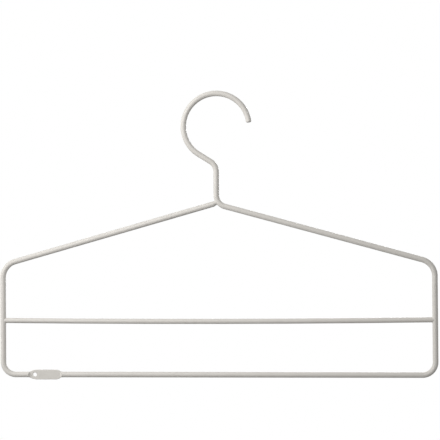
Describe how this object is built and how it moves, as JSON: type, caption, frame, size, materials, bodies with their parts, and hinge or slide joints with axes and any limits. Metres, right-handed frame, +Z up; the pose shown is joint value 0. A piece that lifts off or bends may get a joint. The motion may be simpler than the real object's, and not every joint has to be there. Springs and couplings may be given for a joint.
{
  "type": "trouser hanger",
  "caption": "Slim coated wire hanger: a hook on a long neck, a sloping frame, a bar for trousers and a flattened label with a hole.",
  "frame": {"origin": "the inside top of the hook in the middle of the rod's thickness, where the hanger rests on its rail", "axes": "+X along the width towards the side where the hook is open, +Y towards the back through the rod's thickness, +Z up"},
  "size_m": [0.41, 0.0056, 0.2702],
  "materials": {
    "powder_coat": "satin powder coat with a fine texture"
  },
  "bodies": {
    "root": {"hook": "powder_coat", "neck": "powder_coat", "left_shoulder": "powder_coat", "right_shoulder": "powder_coat", "left_side": "powder_coat", "right_side": "powder_coat", "bottom_rod": "powder_coat", "label_flat": "powder_coat", "trouser_bar": "powder_coat", "apex_weld": "powder_coat", "left_bar_weld": "powder_coat", "right_bar_weld": "powder_coat"}
  },
  "joints": []
}
